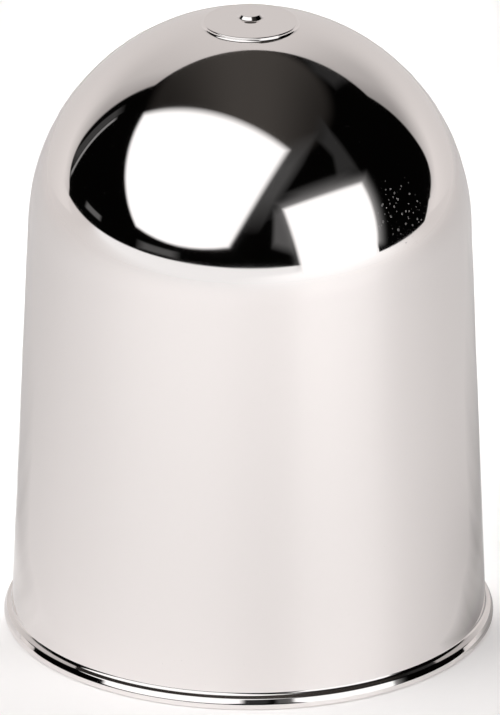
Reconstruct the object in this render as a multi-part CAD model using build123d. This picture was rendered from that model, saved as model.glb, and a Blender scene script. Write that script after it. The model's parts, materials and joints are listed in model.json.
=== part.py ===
from build123d import *
from math import acos, cos, degrees, radians, sin, sqrt, tan
import os

# Tow ball cover: one thin moulded shell with a domed crown, pushed down over the ball of a tow bar.
# Sizes are in millimetres and degrees. +Z is up, and the origin is the middle of the open mouth,
# on the plane that the cover stands on.

# Driving dimensions

# The ball, and how the inside of the cover meets it
ball_diameter = 50.0
ball_clearance = 0.1  # gap between the ball and its seat, on the radius
ball_height = 52.0  # centre of the ball and of the dome, above the mouth
seat_length = 10.0  # straight stretch of the seat, down from the centre of the ball
seat_lead_angle = 30.0  # slope of the lead-in under the seat, from the axis

# The shell
wall = 2.4
wall_draft = 2.4  # slope of the skirt, from the axis
mouth_round = 0.5  # inner edge of the mouth

# The bead around the mouth: an upright foot, a sloping side and a shoulder that runs into the skirt
rim_projection = 0.9  # how far the foot stands out from the skirt, at the mouth
rim_foot_height = 0.69
rim_edge_height = 1.33  # edge between the side and the shoulder, above the mouth
rim_side_slope = 26.0  # from the axis
rim_shoulder_slope = 28.0  # from the level
rim_bottom_round = 0.2
rim_knee_round = 0.8  # between the foot and the side
rim_edge_round = 0.25
rim_root_round = 0.55  # between the shoulder and the skirt

# The flat pad on the crown, with the stub of the moulding gate
pad_diameter = 11.7
pad_step = 0.48  # height of the pad's edge above the dome
pad_edge_slope = 7.0  # from the axis
pad_edge_round = 0.18
pad_root_round = 0.38
gate_offset = 1.3  # from the pad's middle to the stub's, along Y
gate_diameter = 2.4  # flat top of the stub
gate_height = 0.45
gate_slope = 45.0  # from the axis
gate_edge_round = 0.12
gate_root_round = 0.35

# The ribs inside, which grip the ball
rib_count = 6
rib_width = 1.6
rib_grip = 0.1  # how far a crest reaches inside the ball's own radius
rib_foot_height = 14.0  # lower end of a rib, above the mouth
rib_lead_height = 6.0  # ramp from the skirt to the crest

# Sizes that follow from them
ball_radius = ball_diameter / 2
seat_radius = ball_radius + ball_clearance
dome_radius = seat_radius + wall
pad_radius = pad_diameter / 2
gate_radius = gate_diameter / 2
gate_foot_radius = gate_radius + gate_height * tan(radians(gate_slope))
crest_radius = ball_radius - rib_grip
pad_top = ball_height + sqrt(dome_radius**2 - pad_radius**2) + pad_step
crown = pad_top + gate_height


def skirt_radius(height, dome):
    """Radius of the cone that runs on smoothly from a dome of this radius, at a height above the mouth."""
    return dome / cos(radians(wall_draft)) + (ball_height - height) * tan(radians(wall_draft))


def rounded(face, corner, radius):
    """The face with its corner nearest to this point rounded."""
    nearest = face.vertices().sort_by_distance((*corner, 0))[0]
    return fillet(nearest, radius)


def pad_foot():
    """Point where the pad's sloping edge meets the dome."""
    slope = radians(pad_edge_slope)
    from_centre = pad_top - ball_height
    toward_centre = from_centre * cos(slope) - pad_radius * sin(slope)
    gap = from_centre**2 + pad_radius**2 - dome_radius**2
    edge_length = toward_centre - sqrt(toward_centre**2 - gap)
    return (pad_radius + edge_length * sin(slope), pad_top - edge_length * cos(slope))


def rim_corners():
    """Corners of the bead, from the skirt down to the mouth."""
    rim_radius = skirt_radius(0, dome_radius) + rim_projection
    edge_radius = rim_radius - (rim_edge_height - rim_foot_height) * tan(radians(rim_side_slope))
    reach = edge_radius - skirt_radius(rim_edge_height, dome_radius)
    slope = radians(rim_shoulder_slope)
    shoulder = reach / (cos(slope) - sin(slope) * tan(radians(wall_draft)))
    root = (edge_radius - shoulder * cos(slope), rim_edge_height + shoulder * sin(slope))
    return [root, (edge_radius, rim_edge_height), (rim_radius, rim_foot_height), (rim_radius, 0)]


def inside_corners():
    """Corners of the inside, from the mouth up to the centre of the ball."""
    seat_foot = ball_height - seat_length
    seat_step = skirt_radius(seat_foot, seat_radius) - seat_radius
    lead_height = seat_step / (tan(radians(seat_lead_angle)) - tan(radians(wall_draft)))
    lead_foot = seat_foot - lead_height
    return [
        (skirt_radius(0, seat_radius), 0),
        (skirt_radius(lead_foot, seat_radius), lead_foot),
        (seat_radius, seat_foot),
        (seat_radius, ball_height),
    ]


def section():
    """Half of the shell's section: X is the distance from the axis, Y the height."""
    top = (0, pad_top)
    pad_edge = (pad_radius, pad_top)
    pad_root = pad_foot()
    rim_root, rim_edge, rim_knee, rim_bottom = rim_corners()
    inside = inside_corners()
    pad_angle = degrees(acos(pad_root[0] / dome_radius))
    dome = CenterArc((0, ball_height), dome_radius, wall_draft, pad_angle - wall_draft)
    pad_line = Polyline(top, pad_edge, dome @ 1)
    skirt_and_rim = Polyline(dome @ 0, rim_root, rim_edge, rim_knee, rim_bottom, *inside)
    inner_dome = CenterArc((0, ball_height), seat_radius, 0, 90)
    axis_line = Line(inner_dome @ 1, top)
    face = make_face([*pad_line.edges(), *dome.edges(), *skirt_and_rim.edges(),
                      *inner_dome.edges(), *axis_line.edges()])

    face = rounded(face, pad_edge, pad_edge_round)
    face = rounded(face, pad_root, pad_root_round)
    face = rounded(face, rim_root, rim_root_round)
    face = rounded(face, rim_edge, rim_edge_round)
    face = rounded(face, rim_knee, rim_knee_round)
    face = rounded(face, rim_bottom, rim_bottom_round)
    return rounded(face, inside[0], mouth_round)


def gate_stub():
    """Low cone that the moulding gate left on the pad. Its lower half lies inside the wall."""
    sunk = pad_top - wall / 2
    outline = Polyline(
        (0, sunk),
        (gate_foot_radius, sunk),
        (gate_foot_radius, pad_top),
        (gate_radius, crown),
        (0, crown),
        close=True,
    )
    face = rounded(make_face(outline), (gate_radius, crown), gate_edge_round)
    return Pos(0, gate_offset, 0) * revolve(Plane.XZ * face, Axis.Z)


def grip_rib():
    """One rib at azimuth 0: its crest stands parallel to the axis, and its back lies inside the wall."""
    foot_radius = skirt_radius(rib_foot_height, seat_radius)
    crest_top = ball_height + sqrt(seat_radius**2 - crest_radius**2)
    outline = Polyline(
        (crest_radius, rib_foot_height + rib_lead_height),
        (crest_radius, crest_top),
        (seat_radius + wall / 2, ball_height),
        (foot_radius + wall / 2, rib_foot_height),
        (foot_radius, rib_foot_height),
        close=True,
    )
    return extrude(Plane.XZ * make_face(outline), amount=rib_width / 2, both=True)


def tow_ball_cover():
    """The whole moulding: the turned shell with the gate's stub and the ribs."""
    cover = revolve(Plane.XZ * section(), Axis.Z) + gate_stub()
    stub_root = cover.edges().sort_by_distance((0, gate_offset + gate_foot_radius, pad_top))[0]
    cover = fillet(stub_root, gate_root_round)
    rib = grip_rib()
    for turn in range(rib_count):
        cover += Rot(0, 0, turn * 360 / rib_count) * rib
    return cover


cover = tow_ball_cover()
os.makedirs("parts", exist_ok=True)
export_step(cover, "parts/cover.step")
print("cover:", len(cover.solids()), "solid,", round(cover.volume), "mm3,", cover.bounding_box().size)
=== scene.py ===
# %% [markdown]
# # A tow ball cover in bright chrome
# The cover is a cap that is pushed down over the ball of a tow bar, so that the grease on the ball stays
# off clothes. It is moulded in one piece from hard plastic and plated all over. The CAD model gives its
# place and size. This lesson gives it its looks: a finely turned mesh in place of the solid, two plated
# finishes, and a small studio for the chrome to mirror.

# %% Load the fixed frame
import json
from math import acos, asin, atan2, cos, pi, radians, sin, sqrt, tan

import bmesh
import bpy
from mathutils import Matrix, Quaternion, Vector


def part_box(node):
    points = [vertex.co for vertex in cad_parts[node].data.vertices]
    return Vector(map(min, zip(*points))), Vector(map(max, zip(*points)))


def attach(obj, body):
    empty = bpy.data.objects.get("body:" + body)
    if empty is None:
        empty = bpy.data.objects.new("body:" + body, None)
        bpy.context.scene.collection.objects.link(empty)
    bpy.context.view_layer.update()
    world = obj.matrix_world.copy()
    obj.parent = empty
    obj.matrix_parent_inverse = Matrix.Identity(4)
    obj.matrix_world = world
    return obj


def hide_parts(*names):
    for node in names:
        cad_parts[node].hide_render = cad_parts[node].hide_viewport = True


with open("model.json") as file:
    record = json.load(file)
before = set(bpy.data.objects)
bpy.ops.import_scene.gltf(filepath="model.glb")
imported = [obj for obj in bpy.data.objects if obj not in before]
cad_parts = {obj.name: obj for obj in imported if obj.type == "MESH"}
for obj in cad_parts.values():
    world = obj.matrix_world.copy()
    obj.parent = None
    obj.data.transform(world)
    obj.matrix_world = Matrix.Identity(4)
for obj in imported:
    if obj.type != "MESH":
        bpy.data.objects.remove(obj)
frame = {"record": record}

mm = 0.001
scene = bpy.context.scene
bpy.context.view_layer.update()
low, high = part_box("cover")

# %% [markdown]
# ## The camera
# A product shot of a small shiny thing is taken from far away with a long lens, so that its upright sides
# stay upright. Here the lens is so long that a pixel covers almost the same length at the front and at the
# back of the cover. The height of the rim's ellipse against its width gives the angle, 23 degrees down,
# and the width of the cover in pixels gives the distance. The camera goes first, because what a mirror
# shows depends on where the eye is.

# %% Camera
image_height = 715
pixel = 0.12433 * mm  # length that one pixel covers at the cover's axis
sensor_mm = 36.0
camera_distance = 1.865
camera_elevation = radians(22.96)
camera_roll = radians(0.17)
aim = Vector((0.6 * pixel, 0, 34.29 * mm))  # the point in the middle of the picture

camera_data = bpy.data.cameras.new("camera")
camera_data.sensor_width = sensor_mm
camera_data.lens = sensor_mm * camera_distance / (image_height * pixel)
camera_data.clip_start = 0.01
camera_data.clip_end = 100
camera = bpy.data.objects.new("camera", camera_data)
scene.collection.objects.link(camera)
scene.camera = camera

to_camera = Vector((0, -cos(camera_elevation), sin(camera_elevation)))
camera.location = aim + to_camera * camera_distance
camera.rotation_mode = "QUATERNION"
upright = (-to_camera).to_track_quat("-Z", "Y")
camera.rotation_quaternion = upright @ Quaternion((0, 0, 1), camera_roll)
print("Lens:", round(camera_data.lens, 1), "mm")

# %% [markdown]
# ## The section of the moulding
# A turned form is best made from its section: half of the outline of a cut through the axis. A Screw
# modifier could turn a drawn curve, and a Subdivision modifier could round its edges, but a mirror shows
# every fault of the normals. So the section is written as straight runs and exact arcs, and each of its
# points keeps its true normal. The section runs from the axis out over the crown, down the skirt, round
# the bead and up the inside. The space outside is then always on its left.

# %% Sizes of the moulding
crown = high.z
rim_radius = (high.x - low.x) / 2
ball_seat = next(mount for mount in frame["record"]["mounts"] if mount["name"] == "ball_seat")
seat_radius = ball_seat["dims"]["r_mm"] * mm
seat_length = ball_seat["dims"]["length_mm"] * mm
ball_height = ball_seat["pos_m"][2] + seat_length / 2
wall = 2.4 * mm
wall_draft = radians(2.4)
dome_radius = seat_radius + wall
dome_centre = Vector((0, ball_height))


def skirt_radius(height, dome):
    """Radius of the cone that runs on smoothly from a dome of this radius, at a height above the mouth."""
    return dome / cos(wall_draft) + (ball_height - height) * tan(wall_draft)


print("Dome radius in mm:", round(dome_radius / mm, 3), "centre at", round(ball_height / mm, 3))


# %% Rows of a round stretch, a rounded corner and a straight run
def arc(centre, radius, start, end, steps):
    """Points of an arc with their normals. Turning clockwise it bulges, and the other way it is hollow."""
    bulge = 1 if end < start else -1
    rows = []
    for step in range(steps + 1):
        angle = start + (end - start) * step / steps
        outward = Vector((cos(angle), sin(angle)))
        rows.append((centre + outward * radius, outward * bulge))
    return rows


def rounded_corner(before, corner, after, radius, steps=8):
    """Rows of the arc that rounds the corner between two straight lines."""
    back = (before - corner).normalized()
    onward = (after - corner).normalized()
    half_angle = back.angle(onward) / 2
    centre = corner + (back + onward).normalized() * radius / sin(half_angle)
    first = corner + back * radius / tan(half_angle) - centre
    start = atan2(first.y, first.x)
    turn = pi - 2 * half_angle
    if onward.cross(back) < 0:
        turn = -turn
    return arc(centre, radius, start, start + turn, steps)


def straight_run(start, end, count):
    """Rows between the two ends of a straight line, without the ends."""
    along = (end - start) / (count + 1)
    normal = Vector((-along.y, along.x)).normalized()
    return [(start + along * (step + 1), normal) for step in range(count)]


# %% The stub of the moulding gate, on the pad
gate_offset = 1.3 * mm
gate_height = 0.45 * mm
gate_radius = 1.2 * mm
gate_slope = radians(45)
gate_edge_round = 0.12 * mm
gate_root_round = 0.35 * mm
pad_radius = 5.85 * mm
pad_top = crown - gate_height

stub_middle = Vector((0, crown))
stub_edge = Vector((gate_radius, crown))
stub_root = Vector((gate_radius + gate_height * tan(gate_slope), pad_top))
pad_edge = Vector((pad_radius, pad_top))

stub_edge_rows = rounded_corner(stub_middle, stub_edge, stub_root, gate_edge_round)
stub_root_rows = rounded_corner(stub_edge, stub_root, pad_edge, gate_root_round)
stub_top_rows = straight_run(stub_middle, stub_edge_rows[0][0], count=2)
stub_rows = stub_top_rows + stub_edge_rows + stub_root_rows
print("Stub:", len(stub_rows), "rows,", round(2 * stub_root.x / mm, 2), "mm across its foot")

# %% The flat pad and its step down to the dome
pad_edge_slope = radians(7)
pad_edge_round = 0.18 * mm
pad_root_round = 0.38 * mm

from_centre = pad_top - ball_height
toward_centre = from_centre * cos(pad_edge_slope) - pad_radius * sin(pad_edge_slope)
beyond_dome = from_centre**2 + pad_radius**2 - dome_radius**2
edge_length = toward_centre - sqrt(toward_centre**2 - beyond_dome)
pad_root = pad_edge + Vector((sin(pad_edge_slope), -cos(pad_edge_slope))) * edge_length
pad_angle = acos(pad_root.x / dome_radius)
down_dome = pad_root + Vector((sin(pad_angle), -cos(pad_angle))) * mm

pad_edge_rows = rounded_corner(stub_root, pad_edge, pad_root, pad_edge_round, steps=12)
pad_root_rows = rounded_corner(pad_edge, pad_root, down_dome, pad_root_round, steps=12)
pad_rows = straight_run(stub_root_rows[-1][0], pad_edge_rows[0][0], count=8)
print("Pad:", round(2 * pad_radius / mm, 2), "mm across, edge", round(edge_length / mm, 3), "mm high")

# %% Corners of the bead around the mouth
rim_foot_height = 0.69 * mm
rim_edge_height = 1.33 * mm
rim_side_slope = radians(26)
rim_shoulder_slope = radians(28)

rim_edge_radius = rim_radius - (rim_edge_height - rim_foot_height) * tan(rim_side_slope)
shoulder_reach = rim_edge_radius - skirt_radius(rim_edge_height, dome_radius)
shoulder_length = shoulder_reach / (cos(rim_shoulder_slope) - sin(rim_shoulder_slope) * tan(wall_draft))
rim_edge = Vector((rim_edge_radius, rim_edge_height))
rim_root = rim_edge + Vector((-cos(rim_shoulder_slope), sin(rim_shoulder_slope))) * shoulder_length
rim_knee = Vector((rim_radius, rim_foot_height))
rim_bottom = Vector((rim_radius, 0))
mouth_edge = Vector((skirt_radius(0, seat_radius), 0))
up_inside = Vector((skirt_radius(mm, seat_radius), mm))
print("Bead in mm: root at", [round(x / mm, 3) for x in rim_root])
print("Bead in mm: edge at", [round(x / mm, 3) for x in rim_edge])

# %% Rows of the dome, the skirt and the bead
rim_root_round = 0.55 * mm
rim_edge_round = 0.25 * mm
rim_knee_round = 0.8 * mm
rim_bottom_round = 0.2 * mm
mouth_round = 0.5 * mm

below_pad = pad_root_rows[-1][0] - dome_centre
dome_start = atan2(below_pad.y, below_pad.x)
dome_rows = arc(dome_centre, dome_radius, dome_start, wall_draft, steps=72)[1:]
rim_root_rows = rounded_corner(dome_rows[-1][0], rim_root, rim_edge, rim_root_round, steps=14)
rim_edge_rows = rounded_corner(rim_root, rim_edge, rim_knee, rim_edge_round)
rim_knee_rows = rounded_corner(rim_edge, rim_knee, rim_bottom, rim_knee_round)
rim_bottom_rows = rounded_corner(rim_knee, rim_bottom, mouth_edge, rim_bottom_round)
mouth_rows = rounded_corner(rim_bottom, mouth_edge, up_inside, mouth_round)
skirt_rows = straight_run(dome_rows[-1][0], rim_root_rows[0][0], count=24)
rim_rows = rim_root_rows + rim_edge_rows + rim_knee_rows + rim_bottom_rows
print("Dome:", len(dome_rows), "rows, skirt:", len(skirt_rows), "bead:", len(rim_rows))

# %% All rows of the outside, with the offset of their middles
outer_rows = stub_rows + pad_rows + pad_edge_rows + pad_root_rows
outer_rows += dome_rows + skirt_rows + rim_rows + mouth_rows
sliding = [gate_offset * (1 - (step + 1) / (len(pad_rows) + 1)) for step in range(len(pad_rows))]
offsets = [gate_offset] * len(stub_rows) + sliding
offsets += [0] * (len(outer_rows) - len(offsets))
print("Outside:", len(outer_rows), "rows")

# %% [markdown]
# ## The inside and its grip ribs
# The inside can't be seen while the cover stands, but it shows as soon as it is picked up. The ball goes
# in past a tapered skirt, over a short lead-in, into a seat that runs on into the inner dome. Six ribs
# stand a little proud of the seat and grip the ball. They could be boxes joined by a Boolean modifier, but
# that leaves ragged faces. As the section is turned in columns anyway, the columns at the ribs are simply
# pulled in to the height of a crest.

# %% Radius of the inner wall and of a rib's crest
seat_foot = ball_height - seat_length
seat_lead_angle = radians(30)
lead_step = skirt_radius(seat_foot, seat_radius) - seat_radius
lead_foot = seat_foot - lead_step / (tan(seat_lead_angle) - tan(wall_draft))
rib_foot = 14 * mm
rib_ramp_top = 20 * mm
crest_radius = 24.9 * mm
crest_top = ball_height + sqrt(seat_radius**2 - crest_radius**2)


def inner_radius(height):
    """Radius of the inner wall below the dome."""
    if height <= lead_foot:
        return skirt_radius(height, seat_radius)
    rise = min(1, (height - lead_foot) / (seat_foot - lead_foot))
    return skirt_radius(lead_foot, seat_radius) * (1 - rise) + seat_radius * rise


def rib_radius(height, wall_radius):
    """Radius of a rib's crest, which is the wall itself above and below the rib."""
    if height <= rib_foot or height >= crest_top:
        return wall_radius
    ramp = min(1, (height - rib_foot) / (rib_ramp_top - rib_foot))
    return min(wall_radius, skirt_radius(rib_foot, seat_radius) * (1 - ramp) + crest_radius * ramp)


print("Seat:", round(2 * seat_radius / mm, 2), "mm across, crests", round(2 * crest_radius / mm, 2))

# %% Rows of the inside
inner_heights_mm = [4, 8, 11, 14, 15.5, 17, 18.5, 20, 24, 28, 32, 36, 39]
inner_heights = [height * mm for height in inner_heights_mm]
inner_heights += [lead_foot, seat_foot, seat_foot + seat_length / 2, ball_height]
inner_wall = [(inner_radius(height), height) for height in inner_heights]

crest_angle = asin((crest_top - ball_height) / seat_radius)
dome_angles = [crest_angle / 2, crest_angle]
dome_steps = 30
dome_angles += [crest_angle + (pi / 2 - crest_angle) * step / dome_steps for step in range(1, dome_steps)]
inner_dome = [(seat_radius * cos(angle), ball_height + seat_radius * sin(angle)) for angle in dome_angles]
inner_rows = inner_wall + inner_dome
print("Inside:", len(inner_rows), "rows")

# %% Columns around the axis, with extra ones at the ribs
rib_count = 6
rib_half_width = 0.8 * mm
rib_root_width = 0.15 * mm
columns_between_ribs = 24

crest_edge = asin(rib_half_width / crest_radius)
rib_edge = asin((rib_half_width + rib_root_width) / seat_radius)
rib_spacing = 2 * pi / rib_count
column_spacing = (rib_spacing - 2 * rib_edge) / (columns_between_ribs + 1)
columns = []
for rib in range(rib_count):
    middle = rib * rib_spacing
    columns += [(middle - crest_edge, True), (middle, True), (middle + crest_edge, True)]
    for step in range(columns_between_ribs + 2):
        columns.append((middle + rib_edge + column_spacing * step, False))
print("Columns:", len(columns))

# %% [markdown]
# ## Turning the section
# Every row becomes a ring of points, and neighbouring rings are joined by four-sided faces, with one point
# on the axis at either end. The outside is handed its true normals as custom normals, because averaged
# ones would bend the mirrored picture beside each small rounding. The inside keeps Blender's own normals,
# with sharp edges found from their angle. The volume is printed as a test: it has to be close to that of
# the solid.

# %% Points of the cover, with their normals
own_normal = Vector((0, 0, 0))  # leaves the normal of a point to Blender
points = [Vector((0, gate_offset, crown))]
normals = [Vector((0, 0, 1))]
for (place, normal), offset in zip(outer_rows, offsets):
    for angle, on_rib in columns:
        turned = Vector((cos(angle), sin(angle), 0))
        points.append(turned * place.x + Vector((0, offset, place.y)))
        normals.append(turned * normal.x + Vector((0, 0, normal.y)))
for radius, height in inner_rows:
    for angle, on_rib in columns:
        turned = Vector((cos(angle), sin(angle), 0))
        reach = rib_radius(height, radius) if on_rib else radius
        points.append(turned * reach + Vector((0, 0, height)))
        normals.append(own_normal)
points.append(Vector((0, 0, ball_height + seat_radius)))
normals.append(own_normal)
print("Points:", len(points))

# %% Faces of the cover
around = len(columns)
ring_count = len(outer_rows) + len(inner_rows)
last_point = len(points) - 1


def ring_point(ring, column):
    """Number of the point in a ring, counted round past the last column."""
    return 1 + ring * around + column % around


faces = [(0, ring_point(0, k), ring_point(0, k + 1)) for k in range(around)]
for ring in range(ring_count - 1):
    for k in range(around):
        upper = (ring_point(ring, k + 1), ring_point(ring, k))
        lower = (ring_point(ring + 1, k), ring_point(ring + 1, k + 1))
        faces.append(upper + lower)
for k in range(around):
    faces.append((ring_point(ring_count - 1, k), last_point, ring_point(ring_count - 1, k + 1)))
print("Faces:", len(faces))

# %% The cover as a mesh object
sharp_angle = radians(25)
cover_mesh = bpy.data.meshes.new("chrome_cover")
cover_mesh.from_pydata([tuple(point) for point in points], [], faces)
cover_mesh.shade_smooth()
cover_mesh.set_sharp_from_angle(angle=sharp_angle)
cover_mesh.normals_split_custom_set_from_vertices([tuple(normal) for normal in normals])
cover = bpy.data.objects.new("chrome_cover", cover_mesh)
scene.collection.objects.link(cover)

test = bmesh.new()
test.from_mesh(cover_mesh)
open_edges = sum(1 for edge in test.edges if len(edge.link_faces) != 2)
print("Volume in mm3:", round(test.calc_volume(signed=True) / mm**3), "open edges:", open_edges)
test.free()

# %% [markdown]
# ## Effects that both finishes share
# The plating covers the whole moulding, so the same things happen to it inside and out: the plastic under
# it is never quite flat, it has been wiped and handled, and dust settles on it. Each of these effects is a
# node group, built once. A material places the group and gives it its own values. The groups work in the
# object's own coordinates, in metres, so that a size typed in is a size on the real cover.


# %% Helpers for node trees
def add_node(tree, kind, inputs=None, **options):
    """Adds a node, sets its options, and sets or links its named inputs."""
    node = tree.nodes.new(kind)
    for name, value in options.items():
        setattr(node, name, value)
    for name, value in (inputs or {}).items():
        if isinstance(value, bpy.types.NodeSocket):
            tree.links.new(value, node.inputs[name])
        else:
            node.inputs[name].default_value = value
    return node


def calculate(tree, operation, first, second=0.0, clamp=False):
    """Output of a Math node on two numbers or sockets."""
    node = add_node(tree, "ShaderNodeMath", {0: first, 1: second}, operation=operation, use_clamp=clamp)
    return node.outputs[0]


def number_between(tree, share, at_none, at_full):
    """Number that runs from one value, at a share of 0, to another, at a share of 1."""
    inputs = {0: share, 1: at_full - at_none, 2: at_none}
    return add_node(tree, "ShaderNodeMath", inputs, operation="MULTIPLY_ADD").outputs[0]


def colour_between(tree, share, at_none, at_full):
    """Colour that runs from one value, at a share of 0, to another, at a share of 1."""
    inputs = {"Factor": share, "A": at_none, "B": at_full}
    return add_node(tree, "ShaderNodeMix", inputs, data_type="RGBA").outputs["Result"]


def fade(tree, value, start, end):
    """A smooth step from 0 at the start to 1 at the end."""
    names = {"Value": value, "From Min": start, "From Max": end}
    return add_node(tree, "ShaderNodeMapRange", names, interpolation_type="SMOOTHSTEP").outputs["Result"]


# %% Helpers for places, and for node groups
def object_place(tree):
    """The shaded point in the object's own coordinates, in metres."""
    return add_node(tree, "ShaderNodeTexCoord").outputs["Object"]


def coordinates(tree):
    """X, Y and Z of the shaded point."""
    return add_node(tree, "ShaderNodeSeparateXYZ", {"Vector": object_place(tree)}).outputs


def distance_from(tree, point):
    """Distance of the shaded point from a fixed one."""
    ends = {0: object_place(tree), 1: point}
    return add_node(tree, "ShaderNodeVectorMath", ends, operation="DISTANCE").outputs["Value"]


def per_metre(tree, size):
    """How often a size goes into a metre, which is what a texture takes as its scale."""
    return calculate(tree, "DIVIDE", 1.0, size)


def new_group(name, inputs, outputs):
    """An empty shader group with number inputs at their defaults, and number outputs."""
    group = bpy.data.node_groups.new(name, "ShaderNodeTree")
    for label, default in inputs.items():
        socket = group.interface.new_socket(label, in_out="INPUT", socket_type="NodeSocketFloat")
        socket.default_value = default
    for label in outputs:
        group.interface.new_socket(label, in_out="OUTPUT", socket_type="NodeSocketFloat")
    entry = group.nodes.new("NodeGroupInput")
    leave = group.nodes.new("NodeGroupOutput")
    return group, entry.outputs, leave.inputs


# %% Waves of the moulded plastic, seen through the plating
waves_group, given, result = new_group("moulded_waves", {"Wave length": 6 * mm}, ["Height"])
wave_inputs = {
    "Vector": object_place(waves_group),
    "Scale": per_metre(waves_group, given["Wave length"]),
    "Detail": 1.0,
}
waves = add_node(waves_group, "ShaderNodeTexNoise", wave_inputs)
waves_group.links.new(waves.outputs["Fac"], result["Height"])
print("Group:", waves_group.name)

# %% Marks of wiping: a cloudy haze and fine hairlines
haze_from = 0.35
haze_full = 0.7
hairline_from = 0.68
hairline_full = 0.74
stroke_turn = (0.5, 0.3, 0.2)
stroke_stretch = (1, 1, 0.03)

mark_sizes = {"Cloud size": 12 * mm, "Line spacing": 0.7 * mm}
marks_group, given, result = new_group("wiping_marks", mark_sizes, ["Haze", "Hairlines"])
place = object_place(marks_group)
cloud_inputs = {"Vector": place, "Scale": per_metre(marks_group, given["Cloud size"]), "Detail": 4.0}
clouds = add_node(marks_group, "ShaderNodeTexNoise", cloud_inputs)
haze = fade(marks_group, clouds.outputs["Fac"], haze_from, haze_full)
marks_group.links.new(haze, result["Haze"])

stretch = {"Vector": place, "Rotation": stroke_turn, "Scale": stroke_stretch}
stretched = add_node(marks_group, "ShaderNodeMapping", stretch).outputs["Vector"]
stroke_inputs = {"Vector": stretched, "Scale": per_metre(marks_group, given["Line spacing"])}
strokes = add_node(marks_group, "ShaderNodeTexNoise", stroke_inputs)
hairlines = fade(marks_group, strokes.outputs["Fac"], hairline_from, hairline_full)
marks_group.links.new(hairlines, result["Hairlines"])
print("Group:", marks_group.name)

# %% Dust that has settled in specks of many sizes
speck_edge = 1.0
speck_core = 0.6

dust_sizes = {"Spacing": 1.2 * mm, "Speck size": 0.12 * mm}
dust_group, given, result = new_group("settled_dust", dust_sizes, ["Specks"])
cell_inputs = {"Vector": object_place(dust_group), "Scale": per_metre(dust_group, given["Spacing"])}
cells = add_node(dust_group, "ShaderNodeTexVoronoi", cell_inputs).outputs
chance = add_node(dust_group, "ShaderNodeSeparateColor", {"Color": cells["Color"]}).outputs["Red"]
reach = calculate(dust_group, "MULTIPLY", given["Speck size"], chance)
distance = calculate(dust_group, "MULTIPLY", cells["Distance"], given["Spacing"])
share = calculate(dust_group, "DIVIDE", distance, reach)
dust_group.links.new(fade(dust_group, share, speck_edge, speck_core), result["Specks"])
print("Group:", dust_group.name)

# %% [markdown]
# ## Bright chrome outside
# Decorative chrome is a thin hard layer over polished nickel. It has almost no colour of its own: what one
# sees is the room, a little darker and a touch warmer. So the base colour is a light warm grey, metallic is
# full, and the roughness is low. The waves bend the mirrored edges very slightly, and the haze softens them
# in patches. One spot on the right has gathered dust. A speck is matt and not metal, so it shows as a grey
# fleck where the chrome around it mirrors the black room.


# %% Helpers for materials
def use_group(tree, group, inputs):
    """Places a node group, sets or links its inputs, and returns its outputs."""
    return add_node(tree, "ShaderNodeGroup", inputs, node_tree=group).outputs


def new_material(name):
    """A material with nothing but its output node, with its tree and the output's surface input."""
    material = bpy.data.materials.new(name)
    material.use_nodes = True
    tree = material.node_tree
    tree.nodes.clear()
    return material, tree, tree.nodes.new("ShaderNodeOutputMaterial").inputs["Surface"]


def plated(tree, surface, colour, metal, roughness, relief):
    """Ends a material as a metal with a relief, which is a height in metres."""
    bump = add_node(tree, "ShaderNodeBump", {"Height": relief, "Strength": 1.0, "Distance": 1.0})
    inputs = {"Base Color": colour, "Metallic": metal, "Roughness": roughness}
    shader = add_node(tree, "ShaderNodeBsdfPrincipled", inputs)
    tree.links.new(bump.outputs["Normal"], shader.inputs["Normal"])
    tree.links.new(shader.outputs["BSDF"], surface)


# %% Effects on the bright chrome
dusty_spot = (18.6 * mm, -17.9 * mm, 61.4 * mm)
dusty_radius = 2.5 * mm
clean_radius = 5.5 * mm
dust_spacing = 0.48 * mm
clean_speck = 0.02 * mm
dusty_speck = 0.18 * mm

bright_chrome, tree, surface = new_material("bright_chrome")
dusty = fade(tree, distance_from(tree, dusty_spot), clean_radius, dusty_radius)
speck_size = number_between(tree, dusty, clean_speck, dusty_speck)
waves = use_group(tree, waves_group, {"Wave length": 5 * mm})
marks = use_group(tree, marks_group, {"Cloud size": 14 * mm, "Line spacing": 0.6 * mm})
dust = use_group(tree, dust_group, {"Spacing": dust_spacing, "Speck size": speck_size})
print("Material:", bright_chrome.name)

# %% Colour, roughness and relief of the bright chrome
chrome_colour = (0.86, 0.826, 0.815, 1)
dust_colour = (0.03, 0.029, 0.028, 1)
clear_roughness = 0.035
hazy_roughness = 0.065
speck_roughness = 0.6
wave_height = 0.0015 * mm
hairline_depth = 0.0003 * mm

tint = colour_between(tree, dust["Specks"], chrome_colour, dust_colour)
metal = calculate(tree, "SUBTRACT", 1.0, dust["Specks"])
hazy = number_between(tree, marks["Haze"], clear_roughness, hazy_roughness)
rough_speck = calculate(tree, "MULTIPLY", dust["Specks"], speck_roughness)
roughness = calculate(tree, "ADD", hazy, rough_speck)
waved = calculate(tree, "MULTIPLY", waves["Height"], wave_height)
scored = calculate(tree, "MULTIPLY", marks["Hairlines"], -hairline_depth)
relief = calculate(tree, "ADD", waved, scored)
plated(tree, surface, tint, metal, roughness, relief)
print("Nodes in it:", len(tree.nodes))

# %% [markdown]
# ## Thin plating inside
# Little of the plating current reaches into a deep cap, so the chrome is thin there and the warmer, duller
# nickel shows through. The steel core that forms the inside of the mould was turned on a lathe and not
# polished, and its low rings are copied by the plastic. A band texture along the axis gives these rings.

# %% Thin plating
nickel_colour = (0.62, 0.585, 0.53, 1)
stain_colour = (0.42, 0.39, 0.35, 1)
nickel_roughness = 0.3
stain_roughness = 0.42
core_wave_height = 0.006 * mm
ring_spacing = 2.2 * mm
ring_height = 0.004 * mm
bands_per_unit = 20 / (2 * pi)  # of the wave texture, at a scale of 1

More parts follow.
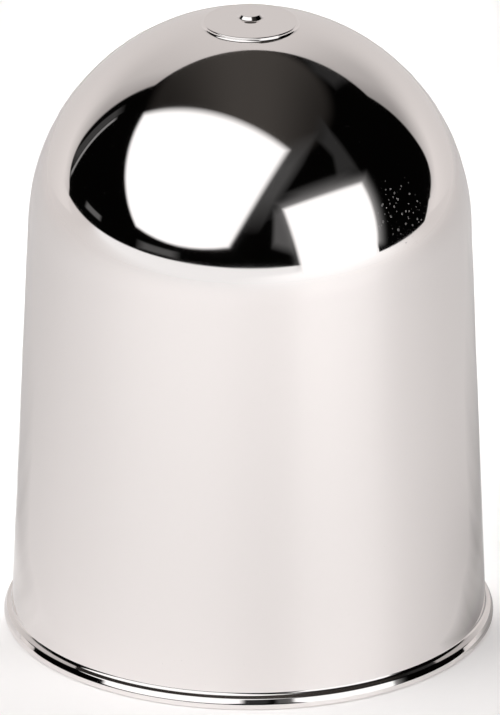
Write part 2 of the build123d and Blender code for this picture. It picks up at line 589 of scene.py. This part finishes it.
thin_plating, tree, surface = new_material("thin_plating")
waves = use_group(tree, waves_group, {"Wave length": 3 * mm})
marks = use_group(tree, marks_group, {"Cloud size": 9 * mm, "Line spacing": 0.9 * mm})
dust = use_group(tree, dust_group, {"Spacing": 1.0 * mm, "Speck size": 0.2 * mm})
ring_inputs = {"Vector": object_place(tree), "Scale": 1 / (bands_per_unit * ring_spacing)}
rings = add_node(tree, "ShaderNodeTexWave", ring_inputs, bands_direction="Z")

tint = colour_between(tree, marks["Haze"], nickel_colour, stain_colour)
metal = calculate(tree, "SUBTRACT", 1.0, dust["Specks"])
roughness = number_between(tree, marks["Haze"], nickel_roughness, stain_roughness)
waved = calculate(tree, "MULTIPLY", waves["Height"], core_wave_height)
ringed = calculate(tree, "MULTIPLY", rings.outputs["Fac"], ring_height)
relief = calculate(tree, "ADD", waved, ringed)
plated(tree, surface, tint, metal, roughness, relief)
print("Material:", thin_plating.name)

# %% Lay the finishes on the cover and hand it to the frame
cover_mesh.materials.append(bright_chrome)
cover_mesh.materials.append(thin_plating)
inside_from = len(outer_rows) * around
for face in cover_mesh.polygons:
    face.material_index = 1 if face.index >= inside_from else 0
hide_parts("cover")
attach(cover, "root")
print("Faces inside:", sum(face.material_index for face in cover_mesh.polygons))

# %% [markdown]
# ## The paper on the floor
# The cover stands on white paper that runs back over the floor and bends up behind it. Near the cover the
# parwaper is an ordinary matt surface, lit by the lamps, so it takes the cover's shadow and the chrome
# mirrors that shadow. Far away the paper would go grey where the lamps don't reach, so there it glows, for
# camera, glossy and transmitted rays only. The glow is white in front of the cover. Behind it the glow is
# dimmer, which is painted shade, and warmer, and at the foot of the right lamp it is brighter, a painted
# pool of light. The floor's far edge rises a little, to the height at which the chrome mirrors the end of
# the white.
# From underneath the floor is clear to the camera, so that the inside of the cover can be seen.


# %% Helper for a mix of two shaders
def mixed_shader(tree, share, first, second):
    """Shader that turns from the first into the second as the share goes from 0 to 1."""
    return add_node(tree, "ShaderNodeMixShader", {0: share, 1: first, 2: second}).outputs[0]


# %% Glow of the paper far away
white = (1, 1, 1, 1)
back_colour = (1, 0.955, 0.935, 1)
front_glow = 1.0
# The dimmer glow behind the cover is painted shade.
back_shade_glow = 0.74
front_from = 0.2
front_full = -0.5
# A painted pool of light: extra glow around the foot of the right lamp.
lamp_foot = (0.58, -0.54, 0)
painted_pool_glow = 0.22
painted_pool_from = 0.7
painted_pool_full = 0.25

paper, tree, surface = new_material("white_paper")
rays = add_node(tree, "ShaderNodeLightPath").outputs
seen = calculate(tree, "ADD", rays["Is Camera Ray"], rays["Is Glossy Ray"])
seen = calculate(tree, "ADD", seen, rays["Is Transmission Ray"], clamp=True)
in_front = fade(tree, coordinates(tree)["Y"], front_from, front_full)
in_painted_pool = fade(tree, distance_from(tree, lamp_foot), painted_pool_from, painted_pool_full)
painted_pool = calculate(tree, "MULTIPLY", in_painted_pool, painted_pool_glow)
far_glow = calculate(tree, "ADD", number_between(tree, in_front, back_shade_glow, front_glow), painted_pool)
far_tint = colour_between(tree, in_front, back_colour, white)
far_inputs = {"Color": far_tint, "Strength": calculate(tree, "MULTIPLY", seen, far_glow)}
glowing = add_node(tree, "ShaderNodeEmission", far_inputs).outputs[0]
print("Material:", paper.name)

# %% Matt paper near the cover, clear from below
paper_colour = (0.9, 0.877, 0.87, 1)
paper_roughness = 0.55
matt_to = 0.15
glowing_from = 0.45

matt_inputs = {"Base Color": paper_colour, "Roughness": paper_roughness}
matt = add_node(tree, "ShaderNodeBsdfPrincipled", matt_inputs).outputs[0]
far = fade(tree, distance_from(tree, (0, 0, 0)), matt_to, glowing_from)
lit = mixed_shader(tree, far, matt, glowing)
back_side = add_node(tree, "ShaderNodeNewGeometry").outputs["Backfacing"]
from_below = calculate(tree, "MULTIPLY", back_side, rays["Is Camera Ray"])
clear = add_node(tree, "ShaderNodeBsdfTransparent").outputs[0]
tree.links.new(mixed_shader(tree, from_below, lit, clear), surface)
print("Matt up to", matt_to, "m from the axis, all glow from", glowing_from)


# %% Helpers for flat pieces of the stage
def stage_piece(name, corners, faces, material):
    """A mesh object that belongs to the stage and not to the cover."""
    mesh = bpy.data.meshes.new(name)
    mesh.from_pydata([tuple(corner) for corner in corners], [], faces)
    mesh.shade_smooth()
    mesh.materials.append(material)
    made = bpy.data.objects.new(name, mesh)
    scene.collection.objects.link(made)
    return made


def circle(radius, height, sides=96):
    """Points around the axis, anticlockwise as seen from above."""
    angles = [2 * pi * side / sides for side in range(sides)]
    return [Vector((radius * cos(angle), radius * sin(angle), height)) for angle in angles]


def ringed_faces(count, rings):
    """One face on the first points, and rings of four-sided faces around it, with as many points each."""
    faces = [tuple(range(count))]
    for k in range(rings * count):
        following = k // count * count + (k + 1) % count
        faces.append((k, k + count, following + count, following))
    return faces


# %% The floor
floor_radius = 6.0
floor_drop = 0.05 * mm
level_radius = 2.0
edge_rise = 0.11

level_edge = circle(level_radius, -floor_drop)
floor_edge = circle(floor_radius, edge_rise)
stage_piece("floor", level_edge + floor_edge, ringed_faces(len(level_edge), rings=1), paper)
print("Floor:", floor_radius, "m in radius, with its edge", edge_rise, "m up")

# %% [markdown]
# ## The bend of the paper
# Behind the cover the paper bends up. The top of the dome mirrors this sheet, and nothing else needs it, so
# only the chrome sees it. It could be matt paper lit by lamps of its own, but a glow is free of noise and
# can be set where it counts. Its changes are painted light and shade: it is a little brighter low at its
# sides, has a painted shade toward its upper corners and on the upper right, and darkens in painted shade
# just inside its left and right edges, where it fades out. It widens toward the floor.


# %% Helpers for pieces that only the chrome mirrors
def fading_glow(tree, surface, strength, colour=white):
    """A glow that is as dense as the stored glow of the points, and clear where that is 0."""
    stored = add_node(tree, "ShaderNodeAttribute", attribute_name="glow").outputs["Fac"]
    clear = add_node(tree, "ShaderNodeBsdfTransparent").outputs[0]
    glow = add_node(tree, "ShaderNodeEmission", {"Color": colour, "Strength": strength}).outputs[0]
    tree.links.new(mixed_shader(tree, stored, clear, glow), surface)


def mirrored_only(piece, glows):
    """Stores a glow for each point of a piece, and shows the piece to nothing but the chrome."""
    piece.data.attributes.new("glow", "FLOAT", "POINT").data.foreach_set("value", glows)
    piece.visible_camera = False
    piece.visible_diffuse = False
    piece.visible_shadow = False


def soft_sheet(name, rows, glows, material):
    """A sheet through rows of points that only the chrome mirrors, with a glow for each point."""
    width = len(rows[0])
    corners = [corner for row in rows for corner in row]
    starts = [k for k in range(len(corners) - width) if k % width < width - 1]
    faces = [(k, k + 1, k + 1 + width, k + width) for k in starts]
    mirrored_only(stage_piece(name, corners, faces, material), glows)


# %% Glow of the bend
bend_half_width = 1.0
bend_glow = 0.7
low_side_glow = 0.13
high_side_glow = -0.17
right_shade = -0.1
high_from = 0.15
high_full = 0.6
right_from = 0.1
right_full = 0.55

# The bend's glow is painted light and shade: brighter low at the sides, painted shade toward the upper
# corners and on the upper right.
bend_paper, tree, surface = new_material("bend_paper")
place = coordinates(tree)
high_up = fade(tree, place["Z"], high_from, high_full)
at_side = fade(tree, calculate(tree, "ABSOLUTE", place["X"]), 0, bend_half_width)
at_right = fade(tree, place["X"], right_from, right_full)
side_level = number_between(tree, high_up, low_side_glow, high_side_glow)
added = calculate(tree, "MULTIPLY", at_side, side_level)
high_right = calculate(tree, "MULTIPLY", high_up, at_right)
shade = calculate(tree, "MULTIPLY", high_right, right_shade)
change = calculate(tree, "ADD", added, shade)
fading_glow(tree, surface, calculate(tree, "ADD", change, bend_glow), back_colour)
print("Material:", bend_paper.name)

# %% Shape of the bend
bend_start = 0.35
bend_radius = 0.36
bend_height = 1.05
bend_steps = 24
bend_tilt = 0.12
flare = 0.0047  # added width times the square of the height
widest = 1.38
top_half_width = 0.89
bend_shares = [-1.02, -0.97, -0.65, 0.68, 1.06, 1.11]
# A painted shade just inside the left and right edges, before the glow fades to clear.
bend_edges = [0, 0.75, 1, 1, 0.75, 0]

bend_back = bend_start + bend_radius
bend_profile = []
for step in range(bend_steps + 1):
    angle = pi / 2 * step / bend_steps
    height = bend_radius * (1 - cos(angle))
    half_width = min(widest, bend_half_width + flare / max(height, mm) ** 2)
    bend_profile.append((bend_start + bend_radius * sin(angle), height, half_width))
bend_profile.append((bend_back, bend_height, top_half_width))
bend_rows = []
for depth, height, half_width in bend_profile:
    bend_rows.append([(half_width * x, depth, height * (1 - bend_tilt * x)) for x in bend_shares])
soft_sheet("paper_bend", bend_rows, bend_edges * len(bend_rows), bend_paper)
print("Paper:", 2 * bend_half_width, "m wide, bent up", bend_back, "m behind the cover")

# %% [markdown]
# ## The lamps that the chrome mirrors
# Chrome is photographed by building its surroundings: it has no light and shade of its own. The dome of
# the cover mirrors nearly the whole room, so its picture tells where things stood. There are two flat soft
# lamps, a large one high on the left and a smaller one standing on the floor on the right. Each lamp is
# two cards in one place. One lights the paper. The other is what the chrome mirrors, and it is only just
# white, as a lamp is in a photograph: thin dark lines beside it then stay dark. A faint halo behind the
# right lamp stands for the glow around it.


# %% Helpers for cards
def card(name, outline, strength):
    """A flat glowing piece of the stage that the camera doesn't see."""
    material, tree, surface = new_material(name + "_glow")
    glow = add_node(tree, "ShaderNodeEmission", {"Color": white, "Strength": strength})
    tree.links.new(glow.outputs[0], surface)
    made = stage_piece(name, outline, ringed_faces(len(outline), rings=0), material)
    made.visible_camera = False
    return made


def soft_card(name, outline, strength, softness, falloff=1, rings=1):
    """A card that only the chrome mirrors. Its glow fades out across rings around its edge."""
    material, tree, surface = new_material(name + "_glow")
    fading_glow(tree, surface, strength)
    middle = sum(outline, Vector()) / len(outline)
    corners = []
    glows = []
    for ring in range(rings + 1):
        outward = ring / rings
        size = 1 - softness + 2 * softness * outward
        corners += [middle.lerp(corner, size) for corner in outline]
        glows += [(1 - outward) ** falloff] * len(outline)
    mirrored_only(stage_piece(name, corners, ringed_faces(len(outline), rings), material), glows)


# %% Helpers for placing cards
dome_middle = Vector((0, 0, ball_height))


def direction(azimuth, elevation):
    """Direction as the dome sees it. Azimuth is to the right of the camera's side."""
    return Vector((sin(azimuth) * cos(elevation), -cos(azimuth) * cos(elevation), sin(elevation)))


def facing_plane(azimuth, elevation, roll, distance, outline):
    """Puts a flat outline square to the dome, in a direction from it."""
    out = direction(azimuth, elevation)
    side = Vector((cos(azimuth), sin(azimuth), 0))
    up = out.cross(side)
    turned_side = side * cos(roll) + up * sin(roll)
    turned_up = up * cos(roll) - side * sin(roll)
    middle = dome_middle + out * distance
    return [middle + turned_side * x + turned_up * y for x, y in outline]


def bulging(corners, bulges, steps=8):
    """An outline whose sides bulge outward. Each side starts at a corner, going anticlockwise."""
    outline = []
    for number, corner in enumerate(corners):
        start = Vector(corner)
        along = Vector(corners[(number + 1) % len(corners)]) - start
        outward = Vector((along.y, -along.x)).normalized()
        for step in range(steps):
            share = step / steps
            outline.append(start + along * share + outward * bulges[number] * 4 * share * (1 - share))
    return outline


# %% A lamp as two cards
lamp_picture = 1.25
lamp_softness = 0.045


def soft_lamp(name, outline, light):
    """A lamp as two cards: one gives light to matt things, the other is mirrored by the chrome."""
    shining = card(name + "_light", outline, light)
    shining.visible_glossy = False
    soft_card(name + "_picture", outline, lamp_picture, lamp_softness)


# %% The left lamp
left_light = 2.75
left_azimuth = radians(-32.1)
left_elevation = radians(65.84)
left_roll = radians(1.2)
left_distance = 0.9
left_corners = [(-0.9, -1.21), (0.56, -1.25), (0.52, 0.165), (-0.885, 0.17)]

left_outline = bulging(left_corners, bulges=[0.19, 0.003, 0.005, 0.08])
left_place = facing_plane(left_azimuth, left_elevation, left_roll, left_distance, left_outline)
soft_lamp("left_lamp", left_place, left_light)
print("Highest corner of the left lamp in m:", round(max(corner.z for corner in left_place), 2))

# %% The right lamp
right_light = 5.1
right_azimuth = radians(41.7)
right_elevation = radians(23.3)
right_distance = 0.7
below_floor = 0.05

right_foot = (ball_height + right_distance * sin(right_elevation)) / cos(right_elevation) + below_floor
right_corners = [(-0.211, -right_foot), (0.368, -right_foot), (0.341, 0.1), (-0.247, 0.103)]
right_outline = bulging(right_corners, bulges=[0, 0.022, 0, 0])
right_place = facing_plane(right_azimuth, right_elevation, 0, right_distance, right_outline)
soft_lamp("right_lamp", right_place, right_light)
print("Lowest corner of the right lamp in mm:", round(min(corner.z for corner in right_place) / mm, 1))

# %% The halo behind the right lamp
halo_size = 1.17
halo_side_shift = Vector((0.02, 0.02, 0))
halo_farther = 0.03
halo_foot = 0.045

right_middle = sum(right_place, Vector()) / len(right_place)
halo_shift = halo_side_shift + right_middle * halo_farther
halo_outline = [right_middle.lerp(corner, halo_size) + halo_shift for corner in right_place]
halo_outline = [Vector((corner.x, corner.y, max(corner.z, halo_foot))) for corner in halo_outline]
soft_card("right_halo", halo_outline, strength=0.33, softness=0.17, falloff=2.2, rings=6)
print("Halo:", halo_size, "times the lamp")

# %% [markdown]
# ## The dark room
# Around the paper the room is dark, with a dim ceiling, and that is what makes the black parts of the
# chrome. A few dim things are in it: the housings of the lamps, a boom, a lamp stand, a box, the edge of a
# table and the far end of the ceiling. Each is a card at the angles at which the dome mirrors it. On the
# right the paper ends and the floor is bare and dark.

# %% Walls and ceiling
room_radius = 5.8
room_mesh = bpy.data.meshes.new("dark_room")
half_ball = bmesh.new()
bmesh.ops.create_uvsphere(half_ball, u_segments=64, v_segments=32, radius=room_radius)
lower_half = [vertex for vertex in half_ball.verts if vertex.co.z < -mm]
bmesh.ops.delete(half_ball, geom=lower_half, context="VERTS")
half_ball.to_mesh(room_mesh)
half_ball.free()
room = bpy.data.objects.new("dark_room", room_mesh)
room.visible_camera = False
scene.collection.objects.link(room)
print("Room:", room_radius, "m in radius")

# %% Paint of the room, with a dim ceiling
wall_glow = 0.001
ceiling_glow = 0.058
ceiling_side_glow = 0.016
ceiling_colour = (1, 0.91, 0.83, 1)
ceiling_tilt = 0.083
ceiling_from = 0.74 * room_radius
ceiling_full = 0.82 * room_radius
side_from = 0.6 * room_radius
middle_to = 0.05 * room_radius

room_paint, tree, surface = new_material("dark_room_paint")
place = coordinates(tree)
tilted = calculate(tree, "SUBTRACT", place["Z"], calculate(tree, "MULTIPLY", place["X"], ceiling_tilt))
overhead = fade(tree, tilted, ceiling_from, ceiling_full)
near_middle = fade(tree, calculate(tree, "ABSOLUTE", place["X"]), side_from, middle_to)
ceiling_level = number_between(tree, near_middle, ceiling_side_glow, ceiling_glow)
added = calculate(tree, "MULTIPLY", overhead, ceiling_level)
paint_inputs = {"Color": ceiling_colour, "Strength": calculate(tree, "ADD", added, wall_glow)}
glow = add_node(tree, "ShaderNodeEmission", paint_inputs)
tree.links.new(glow.outputs[0], surface)
room_mesh.materials.append(room_paint)
print("Material:", room_paint.name)


# %% Dim things in the room
def seen_card(name, corners, distance, strength, softness):
    """A soft card whose corners are azimuths and elevations, in degrees, as the dome sees them."""
    angles = [(radians(azimuth), radians(elevation)) for azimuth, elevation in corners]
    outline = [dome_middle + direction(*corner) * distance for corner in angles]
    soft_card(name, outline, strength, softness)


right_housing = [(12, 12), (22, 8), (25, 31), (14, 29)]
right_hood = [(18, 28), (66, 28), (62, 36), (26, 37)]
left_housing = [(0, 27), (9, 27), (36, 48), (56, 56), (24, 56)]
boom = [(58, 34), (74, 31), (76, 42), (80, 52), (86, 58), (66, 55), (66, 45)]
ceiling_end = [(156, 48), (142, 42), (136, 40), (126, 50), (140, 54)]
lamp_stand = [(-117.5, 5), (-116, 5), (-116, 30), (-117.5, 30)]
stand_shade = [(-122, 8), (-118, 8), (-118, 32), (-122, 32)]
box = [(-97, 4), (-85, 4), (-85, 6), (-97, 6)]
table_edge = [(-58, 2), (-38, 2), (-38, 5), (-58, 5)]

seen_card("right_housing", right_housing, distance=0.9, strength=0.1, softness=0.25)
seen_card("right_hood", right_hood, distance=0.9, strength=0.06, softness=0.5)
seen_card("boom", boom, distance=1.2, strength=0.028, softness=0.4)
seen_card("ceiling_end", ceiling_end, distance=3.0, strength=0.024, softness=0.3)
seen_card("left_housing", left_housing, distance=1.6, strength=0.07, softness=0.6)
seen_card("lamp_stand", lamp_stand, distance=1.5, strength=0.25, softness=0.1)
seen_card("stand_shade", stand_shade, distance=1.6, strength=0.05, softness=0.2)
seen_card("box", box, distance=1.5, strength=0.12, softness=0.2)
seen_card("table_edge", table_edge, distance=1.5, strength=0.09, softness=0.3)

# %% The bare floor on the right
bare_from = 0.93
bare_to = 5.7
bare_rise = 0.12
bare_near_sides = [0.19, -0.36]
bare_far_sides = [-2.2, 2.1]

bare_floor = [(bare_from, side, mm) for side in bare_near_sides]
bare_floor += [(bare_to, side, bare_rise) for side in bare_far_sides]
card("bare_floor", bare_floor, wall_glow)
print("Bare floor: from", bare_from, "to", bare_to, "m")

# %% [markdown]
# ## Light behind and below the cover
# The cover would throw its shadow on the paper behind it, where the picture has plain white. A narrow
# light, which neither the camera nor the chrome sees, washes that shadow out. But on the real cover the
# edges of the skirt mirror this paper with the shadow on it. So two soft sheets, a hair above the paper on
# either side, give the shadow back to the chrome alone. Last, a pad of light under the mouth lights the
# inside, for a look in from below.

# %% A narrow light on the paper behind the cover
behind = bpy.data.lights.new("behind_light", "AREA")
behind.energy = 0.06
behind.shape = "RECTANGLE"
behind.size = 0.066
behind.size_y = 0.24
behind.spread = radians(4)
behind_light = bpy.data.objects.new("behind_light", behind)
behind_light.location = (0, 0.12, 0.4)
behind_light.visible_camera = False
behind_light.visible_glossy = False
scene.collection.objects.link(behind_light)
print("Light behind:", behind.energy, "W")

# %% The shadow that the chrome mirrors
shadow_strength = 0.23
shadow_height = 0.3 * mm
under_rim_mm = 28
depths_mm = [-16, -8, -5, 2, 8, 14, 26, 40, 58, 78, 120]
inner_sides_mm = [31, 31, 31.5, 33, 33, 34, 35, 35, 35, 30, 30]
outer_sides_mm = [35, 37, 39.5, 44.5, 46.5, 49, 58, 72, 86, 90, 90]
right_shades = [0, 0.74, 0.84, 0.75, 0.72, 0.67, 0.45, 0.44, 0.42, 0.34, 0]
left_shades = [0, 0.08, 0.22, 0.42, 0.4, 0.33, 0.34, 0.22, 0.16, 0.17, 0]

shadow_paper, tree, surface = new_material("shadow_paper")
fading_glow(tree, surface, shadow_strength, back_colour)
for name, side, shades in [("right_shadow", 1, right_shades), ("left_shadow", -1, left_shades)]:
    rows = []
    glows = []
    for depth, inner, outer, shade in zip(depths_mm, inner_sides_mm, outer_sides_mm, shades):
        rows.append([(side * x * mm, depth * mm, shadow_height) for x in (under_rim_mm, inner, outer)])
        glows += [shade, shade, 0]
    soft_sheet(name, rows, glows, shadow_paper)
print("Shadow sheets:", len(depths_mm), "rows each")

# %% The pad of light under the mouth
light_pad_radius = 26 * mm
light_pad_height = 0.02 * mm
light_pad_glow = 0.8
card("light_pad", circle(light_pad_radius, light_pad_height), light_pad_glow)
print("Light pad:", round(2 * light_pad_radius / mm, 1), "mm across")

# %% [markdown]
# ## World and colour
# The world is plain white, which gives the white background, and the dark room keeps it from shining on
# the cover. The Standard view transform shows a colour about as it is written.

# %% World and view transform
world = bpy.data.worlds.new("white")
world.use_nodes = True
background = world.node_tree.nodes["Background"]
background.inputs["Color"].default_value = white
background.inputs["Strength"].default_value = 1.0
scene.world = world
scene.view_settings.view_transform = "Standard"
print("View transform:", scene.view_settings.view_transform)
